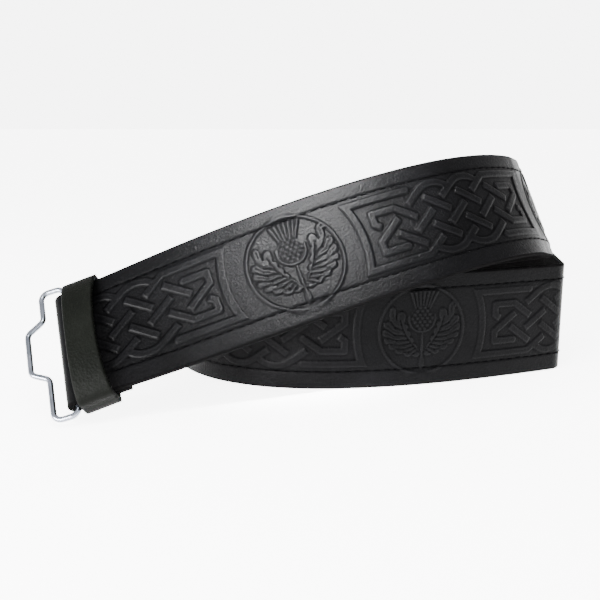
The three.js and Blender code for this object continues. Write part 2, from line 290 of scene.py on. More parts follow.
# The embossed pattern, as a height over the leather in millimetres.
REPEAT = 167.0
FIRST_MEDALLION = FRONT_LENGTH - 142.9
CELL = 0.2
FIELD_MARGIN = 2.0
FIELD_LOW = 5.0
FIELD_HIGH = 53.0
MEDALLION_V = 28.5
PLAIT_V = 29.1
COLUMN = 9.35
ROW = 6.85
COLUMNS = 8
FIRST_COLUMN = 46.9
LOOP_RISE = 17.4
LOOP_REACH = 5.6
END_LOOP = {"inner": 5.5, "outer": 6.0, "high": 9.65, "low": 4.4}
GROUND = -0.2
BAR_TOP = 0.42
UNDER_CUT = 3.7
TOP_BAR_V = 45.7
BOTTOM_BAR_V = 12.8
ARC_RADIUS = 45.0
ARC_SET_BACK = 13.8
ARC_BAR = 4.5
RING_RADIUS = 22.3
DISC_RADIUS = 21.6
DISC_GROUND = -0.12
LEAF_TOP = 0.4
GROOVE_DEPTH = 0.24
HOLLOW_BLURS = 40
LOWER_RUN = (560.0, 640.0)
LOWER_LOSS = 0.35
FOLD_PLAIN = (14.0, 20.0)
CORNER_FADE = 5.0
STITCH_LINES = (8.9, 49.3)
CORNER_HALF = math.radians(CORNER["turn"]) * CORNER["radius"] / 2

grid_x, grid_y = np.meshgrid(
    np.arange(-FIELD_MARGIN, REPEAT + FIELD_MARGIN, CELL),
    np.arange(FIELD_LOW, FIELD_HIGH, CELL), indexing="ij",
)


def window(start, end, reach):
    """The part of the grid within reach of a straight piece."""
    low_x, high_x = min(start[0], end[0]) - reach, max(start[0], end[0]) + reach
    low_y, high_y = min(start[1], end[1]) - reach, max(start[1], end[1]) + reach
    first = max(0, int((low_x + FIELD_MARGIN) / CELL))
    last = min(grid_x.shape[0], int((high_x + FIELD_MARGIN) / CELL) + 2)
    bottom = max(0, int((low_y - FIELD_LOW) / CELL))
    top = min(grid_x.shape[1], int((high_y - FIELD_LOW) / CELL) + 2)
    return slice(first, max(first, last)), slice(bottom, max(bottom, top))


def along_segment(area, start, end):
    """How far along a straight piece each cell lies, as a share, and how far from it."""
    dx, dy = end[0] - start[0], end[1] - start[1]
    x, y = grid_x[area], grid_y[area]
    share = np.clip(((x - start[0]) * dx + (y - start[1]) * dy) / (dx * dx + dy * dy), 0, 1)
    return share, np.hypot(x - start[0] - share * dx, y - start[1] - share * dy)


def paint_bar(field, start, end, flat=1.35, foot=2.1, cut_start=False, cut_end=False):
    """Raises a bevelled bar along one straight piece. Its ends are round, or cut square."""
    area = window(start, end, foot)
    length = math.hypot(end[0] - start[0], end[1] - start[1])
    way_x, way_y = (end[0] - start[0]) / length, (end[1] - start[1]) / length
    x, y = grid_x[area] - start[0], grid_y[area] - start[1]
    run = x * way_x + y * way_y
    aside = np.abs(y * way_x - x * way_y)
    beyond = np.zeros_like(run)
    if not cut_start:
        beyond = np.maximum(beyond, -run)
    if not cut_end:
        beyond = np.maximum(beyond, run - length)
    bevel = smooth((foot - np.hypot(aside, beyond)) / (foot - flat))
    if cut_start:
        bevel = bevel * smooth(run / (foot - flat))
    if cut_end:
        bevel = bevel * smooth((length - run) / (foot - flat))
    field[area] = np.maximum(field[area], GROUND + (BAR_TOP - GROUND) * bevel)


def paint_lobe(field, start, end, width, height, base):
    """Raises a leaf's lobe that is widest near its middle and pointed at its end."""
    area = window(start, end, width + 0.4)
    share, gap = along_segment(area, start, end)
    radius = width * (0.6 + 0.4 * np.sin(np.pi * share ** 0.8)) * (1 - 0.6 * share ** 3)
    dome = np.clip(1 - (gap / radius) ** 2, 0, 1) ** 0.5
    value = base + (height - base) * (0.3 * smooth((radius - gap) / 0.3) + 0.7 * dome)
    field[area] = np.maximum(field[area], np.where(gap < radius, value, -9))


def carve_line(field, start, end, width, depth):
    """Presses a rounded groove along a straight piece."""
    area = window(start, end, 3 * width)
    gap = along_segment(area, start, end)[1]
    field[area] -= depth * np.exp(-((gap / width) ** 2))


def carve_path(field, points, width, depth):
    for start, end in zip(points, points[1:]):
        carve_line(field, start, end, width, depth)


def goes_over(rising, column):
    """A rising strand goes over at even columns, a falling one at odd columns."""
    return rising == (column % 2 == 0)


def paint_strand(field, points, over_start, over_end):
    """A strand through several points. Where it goes under another, it is cut short of the crossing."""
    points = [np.array(point, float) for point in points]
    if not over_start:
        points[0] = points[0] + unit(points[1] - points[0]) * UNDER_CUT
    if not over_end:
        points[-1] = points[-1] + unit(points[-2] - points[-1]) * UNDER_CUT
    last = len(points) - 2
    for here in range(last + 1):
        paint_bar(
            field, points[here], points[here + 1],
            cut_start=here == 0 and not over_start, cut_end=here == last and not over_end,
        )


def rounded(points, times=2):
    """Cuts the corners of a row of points, and keeps its two ends."""
    row = [np.array(point, float) for point in points]
    for _ in range(times):
        softer = [row[0]]
        for start, end in zip(row, row[1:]):
            softer += [start * 0.75 + end * 0.25, start * 0.25 + end * 0.75]
        row = softer + [row[-1]]
    return row


def plait_node(column, rows_up):
    """Where two strands of the plait cross."""
    return FIRST_COLUMN + COLUMN * column, PLAIT_V + ROW * rows_up


def paint_plait(field):
    """The plait's straight strands, and the loops that turn back at its top and bottom."""
    for column in range(COLUMNS):
        if column % 2:
            rows = (1, -1)
        else:
            rows = (2, 0, -2) if column else (0,)
        for row in rows:
            for step in (1, -1):
                after = row + step
                if abs(after) > 2 or (column == COLUMNS - 1 and after != 0):
                    continue
                ends = [plait_node(column, row), plait_node(column + 1, after)]
                paint_strand(field, ends, goes_over(step > 0, column), goes_over(step > 0, column + 1))
    for column in (2, 4):
        for side in (1, -1):
            start, end = plait_node(column, 2 * side), plait_node(column + 2, 2 * side)
            peak = PLAIT_V + LOOP_RISE * side
            corners = [start, (start[0] + LOOP_REACH, peak), (end[0] - LOOP_REACH, peak), end]
            bend = rounded(corners, 3)
            row = [start] + bend[3:-3] + [end]
            paint_strand(field, row, goes_over(side > 0, column), goes_over(side < 0, column + 2))


def paint_panel_end(field, cross_x, way):
    """The end loops of the plait and its frame. way is 1 at the right end and -1 at the left."""
    def at(x, y):
        return cross_x + way * x, PLAIT_V + way * y

    inner, outer, high, low = (END_LOOP[key] for key in ("inner", "outer", "high", "low"))
    rising = [at(-COLUMN, ROW), at(-inner, high), at(outer, high), at(outer, low), at(0, 0)]
    falling = [at(-COLUMN, -ROW), at(-inner, -high), at(outer, -high), at(outer, -low), at(0, 0)]
    paint_strand(field, rising, False, True)
    paint_strand(field, falling, True, False)
    for level, side in ((TOP_BAR_V, 1), (BOTTOM_BAR_V, -1)):
        start = (cross_x - way * 2 * COLUMN, PLAIT_V + 2 * ROW * side)
        bar = [start, (cross_x - way * 14.5, level), (cross_x + way * 20.0, level)]
        paint_strand(field, bar, side == way, True)


def arc_distance(centre_x):
    """Distance from the centres of the flat arcs that bound the plain ground round a medallion."""
    return np.hypot(np.abs(grid_x - centre_x) + ARC_SET_BACK, grid_y - MEDALLION_V)


def paint_arcs(field, centre_x):
    """The curved end bars of the panels on both sides of a medallion, and the medallion's ring."""
    reach = arc_distance(centre_x)
    inside = smooth((grid_y - BOTTOM_BAR_V + 2.1) / 0.7) * smooth((TOP_BAR_V + 2.1 - grid_y) / 0.7)
    bar = smooth((reach - ARC_RADIUS) / 0.75) * smooth((ARC_RADIUS + ARC_BAR - reach) / 0.75) * inside
    field[:] = np.where(reach < ARC_RADIUS + 0.75, field * smooth((reach - ARC_RADIUS) / 0.75), field)
    field[:] = np.maximum(field, np.where(bar > 0, GROUND + (BAR_TOP - GROUND) * bar, -9))
    radius = np.hypot(grid_x - centre_x, grid_y - MEDALLION_V)
    ring = smooth((1.05 - np.abs(radius - RING_RADIUS)) / 0.7)
    field[:] = np.maximum(field, np.where(ring > 0, BAR_TOP * ring, -9))


def paint_crown(field, cx, cy):
    """The thistle's flower: a fan of ribs in a flat outline."""
    ribs_across, rib_height, edge = 7, 0.72, 0.5
    x, y = grid_x - cx, grid_y - cy
    rise = np.clip((y - 11.3) / 8.2, 0, 1)
    left, right = -4.4 - 2.9 * rise, 4.6 + 4.4 * rise
    share = (x - left) / (right - left)
    crown_top = 19.6 + 0.7 * (1 - (2 * share - 1) ** 2)
    inside = smooth((x - left) / edge) * smooth((right - x) / edge)
    inside = inside * smooth((y - 10.4) / edge) * smooth((crown_top - y) / edge)
    ribs = np.abs(np.sin(np.pi * np.clip(share, 0, 1) * ribs_across)) ** 0.9
    value = DISC_GROUND + (rib_height * ribs) * inside
    field[:] = np.where(inside > 0, np.maximum(field, value), field)


def paint_bulb(field, cx, cy):
    """The thistle's bulb: rows of beads on a dome, with a rim below."""
    bead_radius, bead_height, column_pitch, row_pitch = 1.05, 0.5, 2.6, 1.8
    x, y = grid_x - cx + 0.1, grid_y - cy - 6.1
    radius = np.hypot(x, y)
    dome = np.sqrt(np.clip(1 - (radius / 6.7) ** 2, 0, 1))
    value = DISC_GROUND + 0.02 + 0.2 * dome
    for row in range(-3, 4):
        for step in range(-3, 4):
            bead_x = column_pitch * step + (column_pitch / 2 if row % 2 else 0.0)
            bead_y = row_pitch * row
            if math.hypot(bead_x, bead_y) < 5.6:
                bead = np.clip(1 - (np.hypot(x - bead_x, y - bead_y) / bead_radius) ** 2, 0, 1)
                value = np.maximum(value, 0.12 * dome + bead_height * np.sqrt(bead) * (bead > 0))
    field[:] = np.where(radius < 6.3, value, field)
    rim = smooth((0.75 - np.abs(radius - 6.9)) / 0.5) * smooth((3.4 - y) / 3.0)
    raised = DISC_GROUND + (BAR_TOP - DISC_GROUND) * rim
    field[:] = np.where(rim > 0, np.maximum(field, raised), field)


# Half of the thistle's foliage from the medallion's centre: the leaf's edge, its midrib, the
# grooves between its lobes and the shorter cuts inside them.
LEAF_EDGE = [
    (1.0, -12.6), (2.6, -13.8), (4.4, -13.5), (5.3, -12.5), (7.2, -13.5), (9.1, -12.6), (9.7, -11.1),
    (11.9, -11.9), (13.8, -10.8), (14.0, -9.1), (16.2, -9.4), (17.6, -7.9), (17.1, -6.3), (19.1, -6.1),
    (19.9, -4.2), (18.8, -2.8), (20.5, -1.7), (20.6, 0.5), (19.0, 1.5), (20.3, 3.0), (19.6, 5.0),
    (17.9, 5.1), (16.9, 5.4), (17.0, 7.2), (17.2, 9.6), (16.6, 11.8), (15.3, 12.7), (14.1, 11.4),
    (14.0, 9.0), (14.2, 6.8), (13.5, 5.4), (13.2, 6.8), (12.9, 8.6), (11.5, 10.0), (9.7, 9.7),
    (8.8, 7.9), (9.0, 5.4), (9.8, 3.6), (8.3, 3.6), (7.5, 2.1), (8.3, 0.4), (6.7, 0.0), (6.0, -1.7),
    (6.8, -3.3), (5.1, -3.5), (4.4, -5.1), (5.1, -6.7), (3.5, -6.9), (2.8, -8.5), (2.0, -10.2), (1.0, -10.8),
]
LEAF_RIB = [(1.4, -11.4), (4.4, -8.0), (7.4, -4.4), (9.6, -0.6), (11.0, 3.2), (11.6, 5.6)]
LEAF_GROOVES = [
    [(2.6, -10.6), (4.2, -11.9), (5.4, -12.4)],
    [(3.6, -9.4), (6.8, -10.9), (9.8, -10.9)],
    [(5.0, -8.0), (9.4, -9.4), (14.0, -8.9)],
    [(6.4, -6.4), (11.6, -7.2), (17.1, -6.2)],
    [(7.8, -4.6), (13.2, -4.8), (18.7, -2.9)],
    [(9.0, -2.4), (14.4, -1.8), (18.9, 1.4)],
    [(10.2, 0.4), (14.2, 2.0), (16.8, 5.2)],
]
LEAF_CUTS = [
    [(5.0, -10.9), (7.8, -12.1)], [(7.2, -9.6), (9.0, -10.2), (11.4, -10.4)],
    [(9.2, -7.6), (12.0, -8.2), (15.2, -7.8)], [(10.8, -5.7), (14.0, -5.9), (17.2, -4.7)],
    [(11.8, -3.2), (15.0, -3.0), (18.2, -0.9)], [(12.4, -0.6), (15.4, 0.4), (18.2, 3.2)],
    [(15.4, 7.4), (15.6, 10.4)],
]


def inside_outline(outline):
    """Marks the grid's cells that lie inside a closed outline."""
    found = np.zeros(grid_x.shape, bool)
    for (x0, y0), (x1, y1) in zip(outline, outline[1:] + outline[:1]):
        if y0 == y1:
            continue
        spans = (grid_y > min(y0, y1)) & (grid_y <= max(y0, y1))
        found ^= spans & (grid_x < x0 + (grid_y - y0) * (x1 - x0) / (y1 - y0))
    return found


def paint_leaf(field, cx, cy, side):
    """One leaf. side is -1 on the left and 1 on the right."""
    def placed(points):
        return [np.array([cx + side * x, cy + y + (0.07 * x if side > 0 else 0.0)]) for x, y in points]

    edge = placed(LEAF_EDGE)
    raised = inside_outline([tuple(point) for point in rounded(edge + edge[:1], 1)[:-1]])
    field[:] = np.where(raised, LEAF_TOP, field)
    if side > 0:
        hook = placed([(15.2, 11.8), (16.8, 12.6), (17.8, 11.2), (17.6, 9.6)])
        for start, end in zip(hook, hook[1:]):
            paint_lobe(field, start, end, 0.9, LEAF_TOP, DISC_GROUND)
    for line in [LEAF_RIB] + LEAF_GROOVES:
        carve_path(field, placed(line), 0.36, 0.48)
    for line in LEAF_CUTS:
        carve_path(field, placed(line), 0.3, 0.26)


def paint_medallion(field, cx):
    """The thistle in its ring: leaves, stalk, flower and bulb."""
    cy = MEDALLION_V
    radius = np.hypot(grid_x - cx, grid_y - cy)
    pressed = DISC_GROUND * smooth((DISC_RADIUS - radius) / 0.5)
    field[:] = np.where(radius < DISC_RADIUS, np.minimum(field, pressed), field)
    paint_leaf(field, cx, cy, -1)
    paint_leaf(field, cx, cy, 1)
    paint_lobe(field, (cx, cy - 19.4), (cx, cy - 12.6), 1.7, 0.32, DISC_GROUND)
    paint_lobe(field, (cx, cy - 15.5), (cx, cy + 1.4), 0.85, 0.38, DISC_GROUND)
    paint_crown(field, cx, cy)
    paint_bulb(field, cx, cy)


def blurred(field, times):
    """Softens every edge a little, as pressed leather does."""
    for _ in range(times):
        padded = np.pad(field, 1, mode="edge")
        field = (padded[1:-1, 1:-1] * 4 + padded[:-2, 1:-1] + padded[2:, 1:-1]
                 + padded[1:-1, :-2] + padded[1:-1, 2:]) / 8
    return field


def pattern_field():
    """One repeat of the pattern, from the middle of one medallion to the middle of the next."""
    field = np.zeros_like(grid_x)
    reach = np.minimum(arc_distance(0.0), arc_distance(REPEAT))
    panel = smooth((reach - ARC_RADIUS - ARC_BAR + 1.0) / 0.6)
    panel = panel * smooth((grid_y - 12.0) / 0.6) * smooth((46.4 - grid_y) / 0.6)
    field += GROUND * panel
    paint_plait(field)
    paint_panel_end(field, FIRST_COLUMN, -1)
    paint_panel_end(field, FIRST_COLUMN + COLUMNS * COLUMN, 1)
    for centre_x in (0.0, REPEAT):
        paint_arcs(field, centre_x)
        paint_medallion(field, centre_x)
    return blurred(field, 1)


PATTERN = pattern_field()
# Painted shade: how far each spot lies below its blurred surroundings. The material darkens grooves and the
# feet of raised bars by it.
SHADE_HOLLOWS = blurred(PATTERN, HOLLOW_BLURS) - PATTERN


def sampled(field, distance, rise):
    """A field's value at distances from the bar and rises over the strap's lower edge."""
    x = (np.mod(distance - FIRST_MEDALLION, REPEAT) + FIELD_MARGIN) / CELL
    y = (rise - FIELD_LOW) / CELL
    inside = (y >= 0) & (y < field.shape[1] - 1)
    x0 = np.floor(x).astype(int)
    y0 = np.clip(np.floor(y).astype(int), 0, field.shape[1] - 2)
    fx, fy = x - x0, np.clip(y - y0, 0, 1)
    low = field[x0, y0] * (1 - fx) + field[x0 + 1, y0] * fx
    high = field[x0, y0 + 1] * (1 - fx) + field[x0 + 1, y0 + 1] * fx
    return np.where(inside, low * (1 - fy) + high * fy, 0.0)


def stitch_groove(rise):
    """The grooves that the two rows of stitches lie in, as a share of their depth."""
    return sum(np.exp(-(((rise - line) / 0.55) ** 2)) for line in STITCH_LINES)


def crispness(distance):
    """The pattern is pressed less deep on the lower run."""
    return 1.0 - LOWER_LOSS * smooth(distance, *LOWER_RUN)


def hollow_shade(distance, rise):
    """How deep a spot lies under the leather round it, as painted shade that darkens the colour and the gloss
    in its grooves and stitch grooves.
    """
    return sampled(SHADE_HOLLOWS, distance, rise) * crispness(distance) + 0.14 * stitch_groove(rise)


def relief(distance, rise):
    """The pattern's height over the leather."""
    height = sampled(PATTERN, distance, rise) - GROOVE_DEPTH * stitch_groove(rise)
    from_corner = np.abs(distance - CORNER_START - CORNER_HALF)
    past_corner = smooth(from_corner, CORNER_HALF, CORNER_HALF + CORNER_FADE)
    return height * crispness(distance) * smooth(distance, *FOLD_PLAIN) * past_corner


def new_mesh(name, points, faces, material, body):
    """A smooth piece from points in millimetres, riding on a body."""
    mesh = bpy.data.meshes.new(name)
    mesh.from_pydata((np.asarray(points) * MM).tolist(), [], faces)
    mesh.validate()
    mesh.polygons.foreach_set("use_smooth", [True] * len(mesh.polygons))
    mesh.materials.append(material)
    mesh.update()
    piece = bpy.data.objects.new(name, mesh)
    bpy.context.scene.collection.objects.link(piece)
    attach(piece, body)
    return piece


def grid_faces(rows, ring, closed_rows=False):
    """Quads over rows of closed rings, with a cap at each end unless the rows close up too."""
    row = np.arange(rows if closed_rows else rows - 1)[:, None]
    here = row * ring
    after = (row + 1) % rows * ring
    column = np.arange(ring)[None, :]
    beside = (column + 1) % ring
    quads = np.stack([here + column, after + column, after + beside, here + beside], axis=-1)
    faces = quads.reshape(-1, 4).tolist()
    if not closed_rows:
        faces.append(list(range(ring)))
        faces.append([(rows - 1) * ring + index for index in range(ring - 1, -1, -1)])
    return faces


def strap_ring():
    """The strap's section: rise over the lower edge, depth from the centre, and whether it is embossed."""
    half, width, ease = STRAP["thickness"] / 2, STRAP["width"], 0.8
    face = np.concatenate([
        np.linspace(width - 1.0, 51.2, 5), np.arange(50.7, 7.4, -0.42), np.linspace(7.0, 1.0, 5)
    ])
    section = [(rise, half, 1.0) for rise in face]
    arc = np.radians([30, 55, 80])
    section += [(1.0 - math.sin(a), half - ease * (1 - math.cos(a)), 0.0) for a in arc]
    section += [(0.0, 0.25, 0.0), (0.14, 0.0, 0.0), (0.0, -0.25, 0.0)]
    section += [(1.0 - math.sin(a), -half + ease * (1 - math.cos(a)), 0.0) for a in arc[::-1]]
    section += [(rise, -half, 0.0) for rise in np.linspace(1.0, width - 1.0, 14)]
    section += [(width - 1.0 + math.sin(a), -half + ease * (1 - math.cos(a)), 0.0) for a in arc]
    section += [(width, -0.25, 0.0), (width - 0.14, 0.0, 0.0), (width, 0.25, 0.0)]
    section += [(width - 1.0 + math.sin(a), half - ease * (1 - math.cos(a)), 0.0) for a in arc[::-1]]
    return np.array(section)


RING = strap_ring()


def strap_rows(distances):
    """The strap's embossed section at each distance from the bar."""
    point, along, across, facing = places_at(distances)
    rise = RING[:, 0] - STRAP["width"] / 2
    embossed = relief(distances[:, None], RING[None, :, 0]) * RING[None, :, 2]
    depth = RING[None, :, 1] + embossed
    lateral = across[:, None, :] + along[:, None, :] * skew_at(distances)[:, None, None]
    return point[:, None, :] + facing[:, None, :] * depth[..., None] + lateral * rise[None, :, None]


def fold_rows():
    """The hidden tail behind the front run, and the half turn round the wire's bar."""
    distances = np.arange(FOLD["tail_length"], 0.0, -1.5)
    point, along, across, facing = places_at(distances)
    closed = smooth(distances, BAR_RADIUS, FOLD["closing_length"])
    gap = 2 * FOLD_RADIUS + (STRAP["thickness"] + FOLD["layer_gap"] - 2 * FOLD_RADIUS) * closed
    point = point - facing * gap[:, None]
    rise = RING[:, 0] - STRAP["width"] / 2
    lateral = across[:, None, :] + along[:, None, :] * skew_at(distances)[:, None, None]
    depth = -RING[None, :, 1, None] * facing[:, None, :]
    rows = [point[:, None, :] + depth + lateral * rise[None, :, None]]
    point, along, across, facing = (array[0] for array in places_at(np.array([0.0])))
    bar = point - facing * FOLD_RADIUS
    for angle in np.linspace(-math.pi / 2, math.pi / 2, 26)[:-1]:
        outward = -along * math.cos(angle) + facing * math.sin(angle)
        lateral = across + along * SKEW
        spot = bar + outward * (FOLD_RADIUS + RING[:, 1])[:, None] + lateral * rise[:, None]
        rows.append(spot[None])
    return np.concatenate(rows)


def keep_caps_flat(piece, ring):
    """Makes the two end rings sharp, so that the flat caps don't bend the shading beside them."""
    mesh = piece.data
    ends = np.zeros(len(mesh.edges) * 2, dtype=np.int32)
    mesh.edges.foreach_get("vertices", ends)
    ends = ends.reshape(-1, 2)
    last = len(mesh.vertices) - ring
    sharp = (ends.max(axis=1) < ring) | (ends.min(axis=1) >= last)
    mesh.attributes.new("sharp_edge", "BOOLEAN", "EDGE").data.foreach_set("value", sharp)


def show_raw_sides(piece, rows, raw):
    """Gives every face but the embossed ones, and both caps, the raw leather of the back."""
    finished = RING[:, 2] * np.roll(RING[:, 2], -1) > 0
    kinds = np.concatenate([np.tile(np.where(finished, 0, 1), rows - 1), [1, 1]])
    piece.data.materials.append(raw)
    piece.data.polygons.foreach_set("material_index", kinds.astype(np.int32))


def strap_piece(name, rows, distances, materials):
    """A stretch of strap. Rows before the first distance belong to the fold, which is plain."""
    finished, raw = materials
    piece = new_mesh(name, rows.reshape(-1, 3), grid_faces(len(rows), len(RING)), finished, "belt")
    shade_depths = np.zeros((len(rows), len(RING)), np.float32)
    # Painted shade for the material, per point: deeper hollows get a darker colour and less gloss.
    shade_depths[len(rows) - len(distances):] = hollow_shade(distances[:, None], RING[None, :, 0]) * RING[None, :, 2]
    piece.data.attributes.new("hollow_shade", "FLOAT", "POINT").data.foreach_set("value", shade_depths.ravel())
    show_raw_sides(piece, len(rows), raw)
    keep_caps_flat(piece, len(RING))
    return piece


def make_strap(materials):
    """Four stretches. The two that the photo shows have the closest rows."""
    quick = 1.0
    front_end = FRONT_LENGTH + 34.0
    lower_start = LOWER_RUN[1]
    lower_end = CORNER_START + 16.0
    plain = np.arange(0.0, 18.0, 1.0)
    front = np.concatenate([plain, np.arange(18.0, front_end, 0.45 * quick), [front_end]])
    back = np.concatenate([np.arange(front_end, lower_start, 0.85 * quick), [lower_start]])
    lower = np.concatenate([np.arange(lower_start, lower_end, 0.46 * quick), [lower_end]])
    end = np.concatenate([np.arange(lower_end, BELT_LENGTH, 0.75 * quick), [BELT_LENGTH]])
    first = np.concatenate([fold_rows(), strap_rows(front)])
    return [
        strap_piece("strap_front", first, front, materials),
        strap_piece("strap_back", strap_rows(back), back, materials),
        strap_piece("strap_lower", strap_rows(lower), lower, materials),
        strap_piece("strap_end", strap_rows(end), end, materials),
    ]


def tube_rows(centres, ways, normals, radii, sides):
    """Rings round a line of centres."""
    other = np.cross(ways, normals)
    angles = np.arange(sides)[None, :, None] * 2 * math.pi / sides
    ring = normals[:, None, :] * np.cos(angles) + other[:, None, :] * np.sin(angles)
    return centres[:, None, :] + ring * radii[:, None, None]


def make_stitches(name, lines, face, first, last, material):
    """A row of thread stitches, each arched out of one hole and into the next."""
    pitch, length, thread, depth, ring = 4.95, 4.45, 0.3, 0.62, 7
    seed = np.random.default_rng(5)
    starts = np.arange(first, last - pitch, pitch)
    share = np.linspace(0, 1, ring)
    arch = np.sin(np.pi * share)
    points, faces = [], []
    for line in lines:
        for start in starts:
            wobble = seed.normal(0, 0.12, 3)
            run = start + wobble[0] + length * share
            point, along, across, facing = places_at(run)
            rise = line + wobble[1] + 0.16 * (share - 0.5)
            outward = facing * face
            height = STRAP["thickness"] / 2 - depth + depth * arch ** 0.6
            if face > 0:
                groove = GROOVE_DEPTH * smooth(run, *FOLD_PLAIN)
                height = height + relief(run, np.full(len(run), line)) + groove
            lateral = across + along * skew_at(run)[:, None]
            centres = point + outward * height[:, None] + lateral * (rise - STRAP["width"] / 2)[:, None]
            radii = thread * (0.72 + 0.28 * arch + 0.03 * wobble[2])
            rows = tube_rows(centres, along, outward, radii, ring)
            base = sum(len(block) for block in points)
            points.append(rows.reshape(-1, 3))
            faces += [[base + index for index in face_row] for face_row in grid_faces(ring, ring)]
    piece = new_mesh(name, np.concatenate(points), faces, material, "belt")
    return piece


def bar_frame():
    """The middle of the wire's bar in the fold, and the strap's ways there."""
    point, along, across, facing = (array[0] for array in places_at(np.array([0.0])))
    return point - facing * FOLD_RADIUS, along, across, facing


def catmull_loop(points, count):
    """A smooth closed loop through points, evenly spaced."""
    points = np.array(points)
    total = len(points)
    samples = []
    for index in range(total):
        p0, p1, p2, p3 = (points[(index + offset) % total] for offset in (-1, 0, 1, 2))
        knots = [0.0]
        for start, end in ((p0, p1), (p1, p2), (p2, p3)):
            knots.append(knots[-1] + np.linalg.norm(end - start) ** 0.5)
        t0, t1, t2, t3 = knots
        for t in np.linspace(t1, t2, 40, endpoint=False):
            a1 = (t1 - t) / (t1 - t0) * p0 + (t - t0) / (t1 - t0) * p1
            a2 = (t2 - t) / (t2 - t1) * p1 + (t - t1) / (t2 - t1) * p2
            a3 = (t3 - t) / (t3 - t2) * p2 + (t - t2) / (t3 - t2) * p3
            b1 = (t2 - t) / (t2 - t0) * a1 + (t - t0) / (t2 - t0) * a2
            b2 = (t3 - t) / (t3 - t1) * a2 + (t - t1) / (t3 - t1) * a3
            samples.append((t2 - t) / (t2 - t1) * b1 + (t - t1) / (t2 - t1) * b2)
    samples = np.array(samples + [samples[0]])
    distance = np.concatenate([[0.0], np.cumsum(np.linalg.norm(np.diff(samples, axis=0), axis=1))])
    wanted = np.linspace(0, distance[-1], count, endpoint=False)
    return np.stack([np.interp(wanted, distance, samples[:, axis]) for axis in (0, 1)], axis=1)


def make_keeper(material):
    """The bowed loop round the fold, waisted and frayed at its far edge."""
    half = KEEPER["thickness"] / 2
    side = STRAP["width"] / 2 + KEEPER["clearance"] + half
    front = STRAP["thickness"] / 2 + KEEPER["clearance"] + half
    back = -(2 * FOLD_RADIUS + STRAP["thickness"] / 2 + KEEPER["clearance"] + half)
    bow = KEEPER["bow"]
    upper = [((front if is_front else back) + outward * bow, share * side + step * bow)
             for is_front, outward, share, step in KEEPER_TABLE]
    lower = [(depth, -height) for depth, height in upper[1:-1][::-1]]
    count = 260
    loop = catmull_loop(upper + lower, count)
    way = unit_rows(np.roll(loop, -1, axis=0) - np.roll(loop, 1, axis=0))
    normal = np.stack([way[:, 1], -way[:, 0]], axis=1)
    near = BAR_RADIUS + KEEPER["bar_gap"]
    far = near + KEEPER["width"]
    ease = 0.75
    arc = np.radians([0, 30, 60, 90])
    section = [(half - ease * (1 - math.cos(a)), near + ease * (1 - math.sin(a))) for a in arc]
    section += [(-half + ease * (1 - math.cos(a)), near + ease * (1 - math.sin(a))) for a in arc[::-1]]
    section += [(-half, reach) for reach in np.linspace(near + 1.8, far - 1.0, 12)]
    section += [(-half, far - 0.3), (-half * 0.6, far), (-half * 0.2, far + 0.1), (half * 0.2, far + 0.1)]
    section += [(half * 0.6, far), (half, far - 0.3)]
    section += [(half, reach) for reach in np.linspace(far - 1.0, near + 1.8, 22)]
    section = np.array(section)
    seed = np.random.default_rng(11)
    fray = seed.normal(0, 1, (count, len(section)))
    base, along, across, facing = bar_frame()
    base = base + facing * FOLD_RADIUS
    rise, reach = section[None, :, 0], section[None, :, 1]
    torn = (reach > far - 0.4) * 0.16 * fray
    depth = loop[:, 0:1] + normal[:, 0:1] * (rise + torn * 0.5)
    height = loop[:, 1:2] + normal[:, 1:2] * (rise + torn * 0.5)
    side_height = STRAP["width"] / 2 + KEEPER["clearance"] + KEEPER["thickness"]
    pull = smooth((reach - near) / KEEPER["width"], 0.15, 1.0)
    waist = KEEPER["waist"] * (1 - (height / side_height) ** 2) * pull
    out = reach + torn - waist + height * SKEW
    points = base + facing * depth[..., None] + across * height[..., None] + along * out[..., None]
    faces = grid_faces(count, len(section), True)
    piece = new_mesh("keeper_loop", points.reshape(-1, 3), faces, material, "belt")
    return piece


def wire_line():
    """The wire's centre line in its own plane: out from the bar, up along it."""
    leg = STRAP["width"] / 2 + WIRE["slide"] + WIRE["side_gap"] + BAR_RADIUS
    shoulder = FOLD_RADIUS + STRAP["thickness"] / 2 + WIRE["shoulder_gap"] + BAR_RADIUS
    bump = shoulder + WIRE["bump_reach"]
    top, offset = WIRE["bump_half_top"], WIRE["bump_offset"]
    foot = top + WIRE["bump_slope"]
    bar_bend = WIRE["side_gap"] + BAR_RADIUS
    corners = [
        (0, leg, bar_bend), (shoulder, leg, WIRE["shoulder_bend"]),
        (shoulder, offset + foot, WIRE["bump_bend"]), (bump, offset + top, WIRE["bump_bend"]),
        (bump, offset - top, WIRE["bump_bend"]), (shoulder, offset - foot, WIRE["bump_bend"]),
        (shoulder, -leg, WIRE["shoulder_bend"]), (0, -leg, bar_bend),
    ]
    line = []
    for index, (out, rise, radius) in enumerate(corners):
        at = np.array([out, rise])
        before = unit(np.array(corners[index - 1][:2]) - at)
        after = unit(np.array(corners[(index + 1) % len(corners)][:2]) - at)
        half_open = math.acos(float(np.dot(before, after))) / 2
        middle = unit(before + after)
        centre = at + middle * radius / math.sin(half_open)
        sweep = math.pi - 2 * half_open
        turn = np.sign(before[0] * after[1] - before[1] * after[0])
        for step in range(WIRE_STEPS + 1):
            angle = turn * (0.5 - step / WIRE_STEPS) * sweep
            cos, sin = math.cos(angle), math.sin(angle)
            arm = np.array([-middle[0] * cos + middle[1] * sin, -middle[0] * sin - middle[1] * cos])
            line.append(centre + arm * radius)
    return np.array(line)


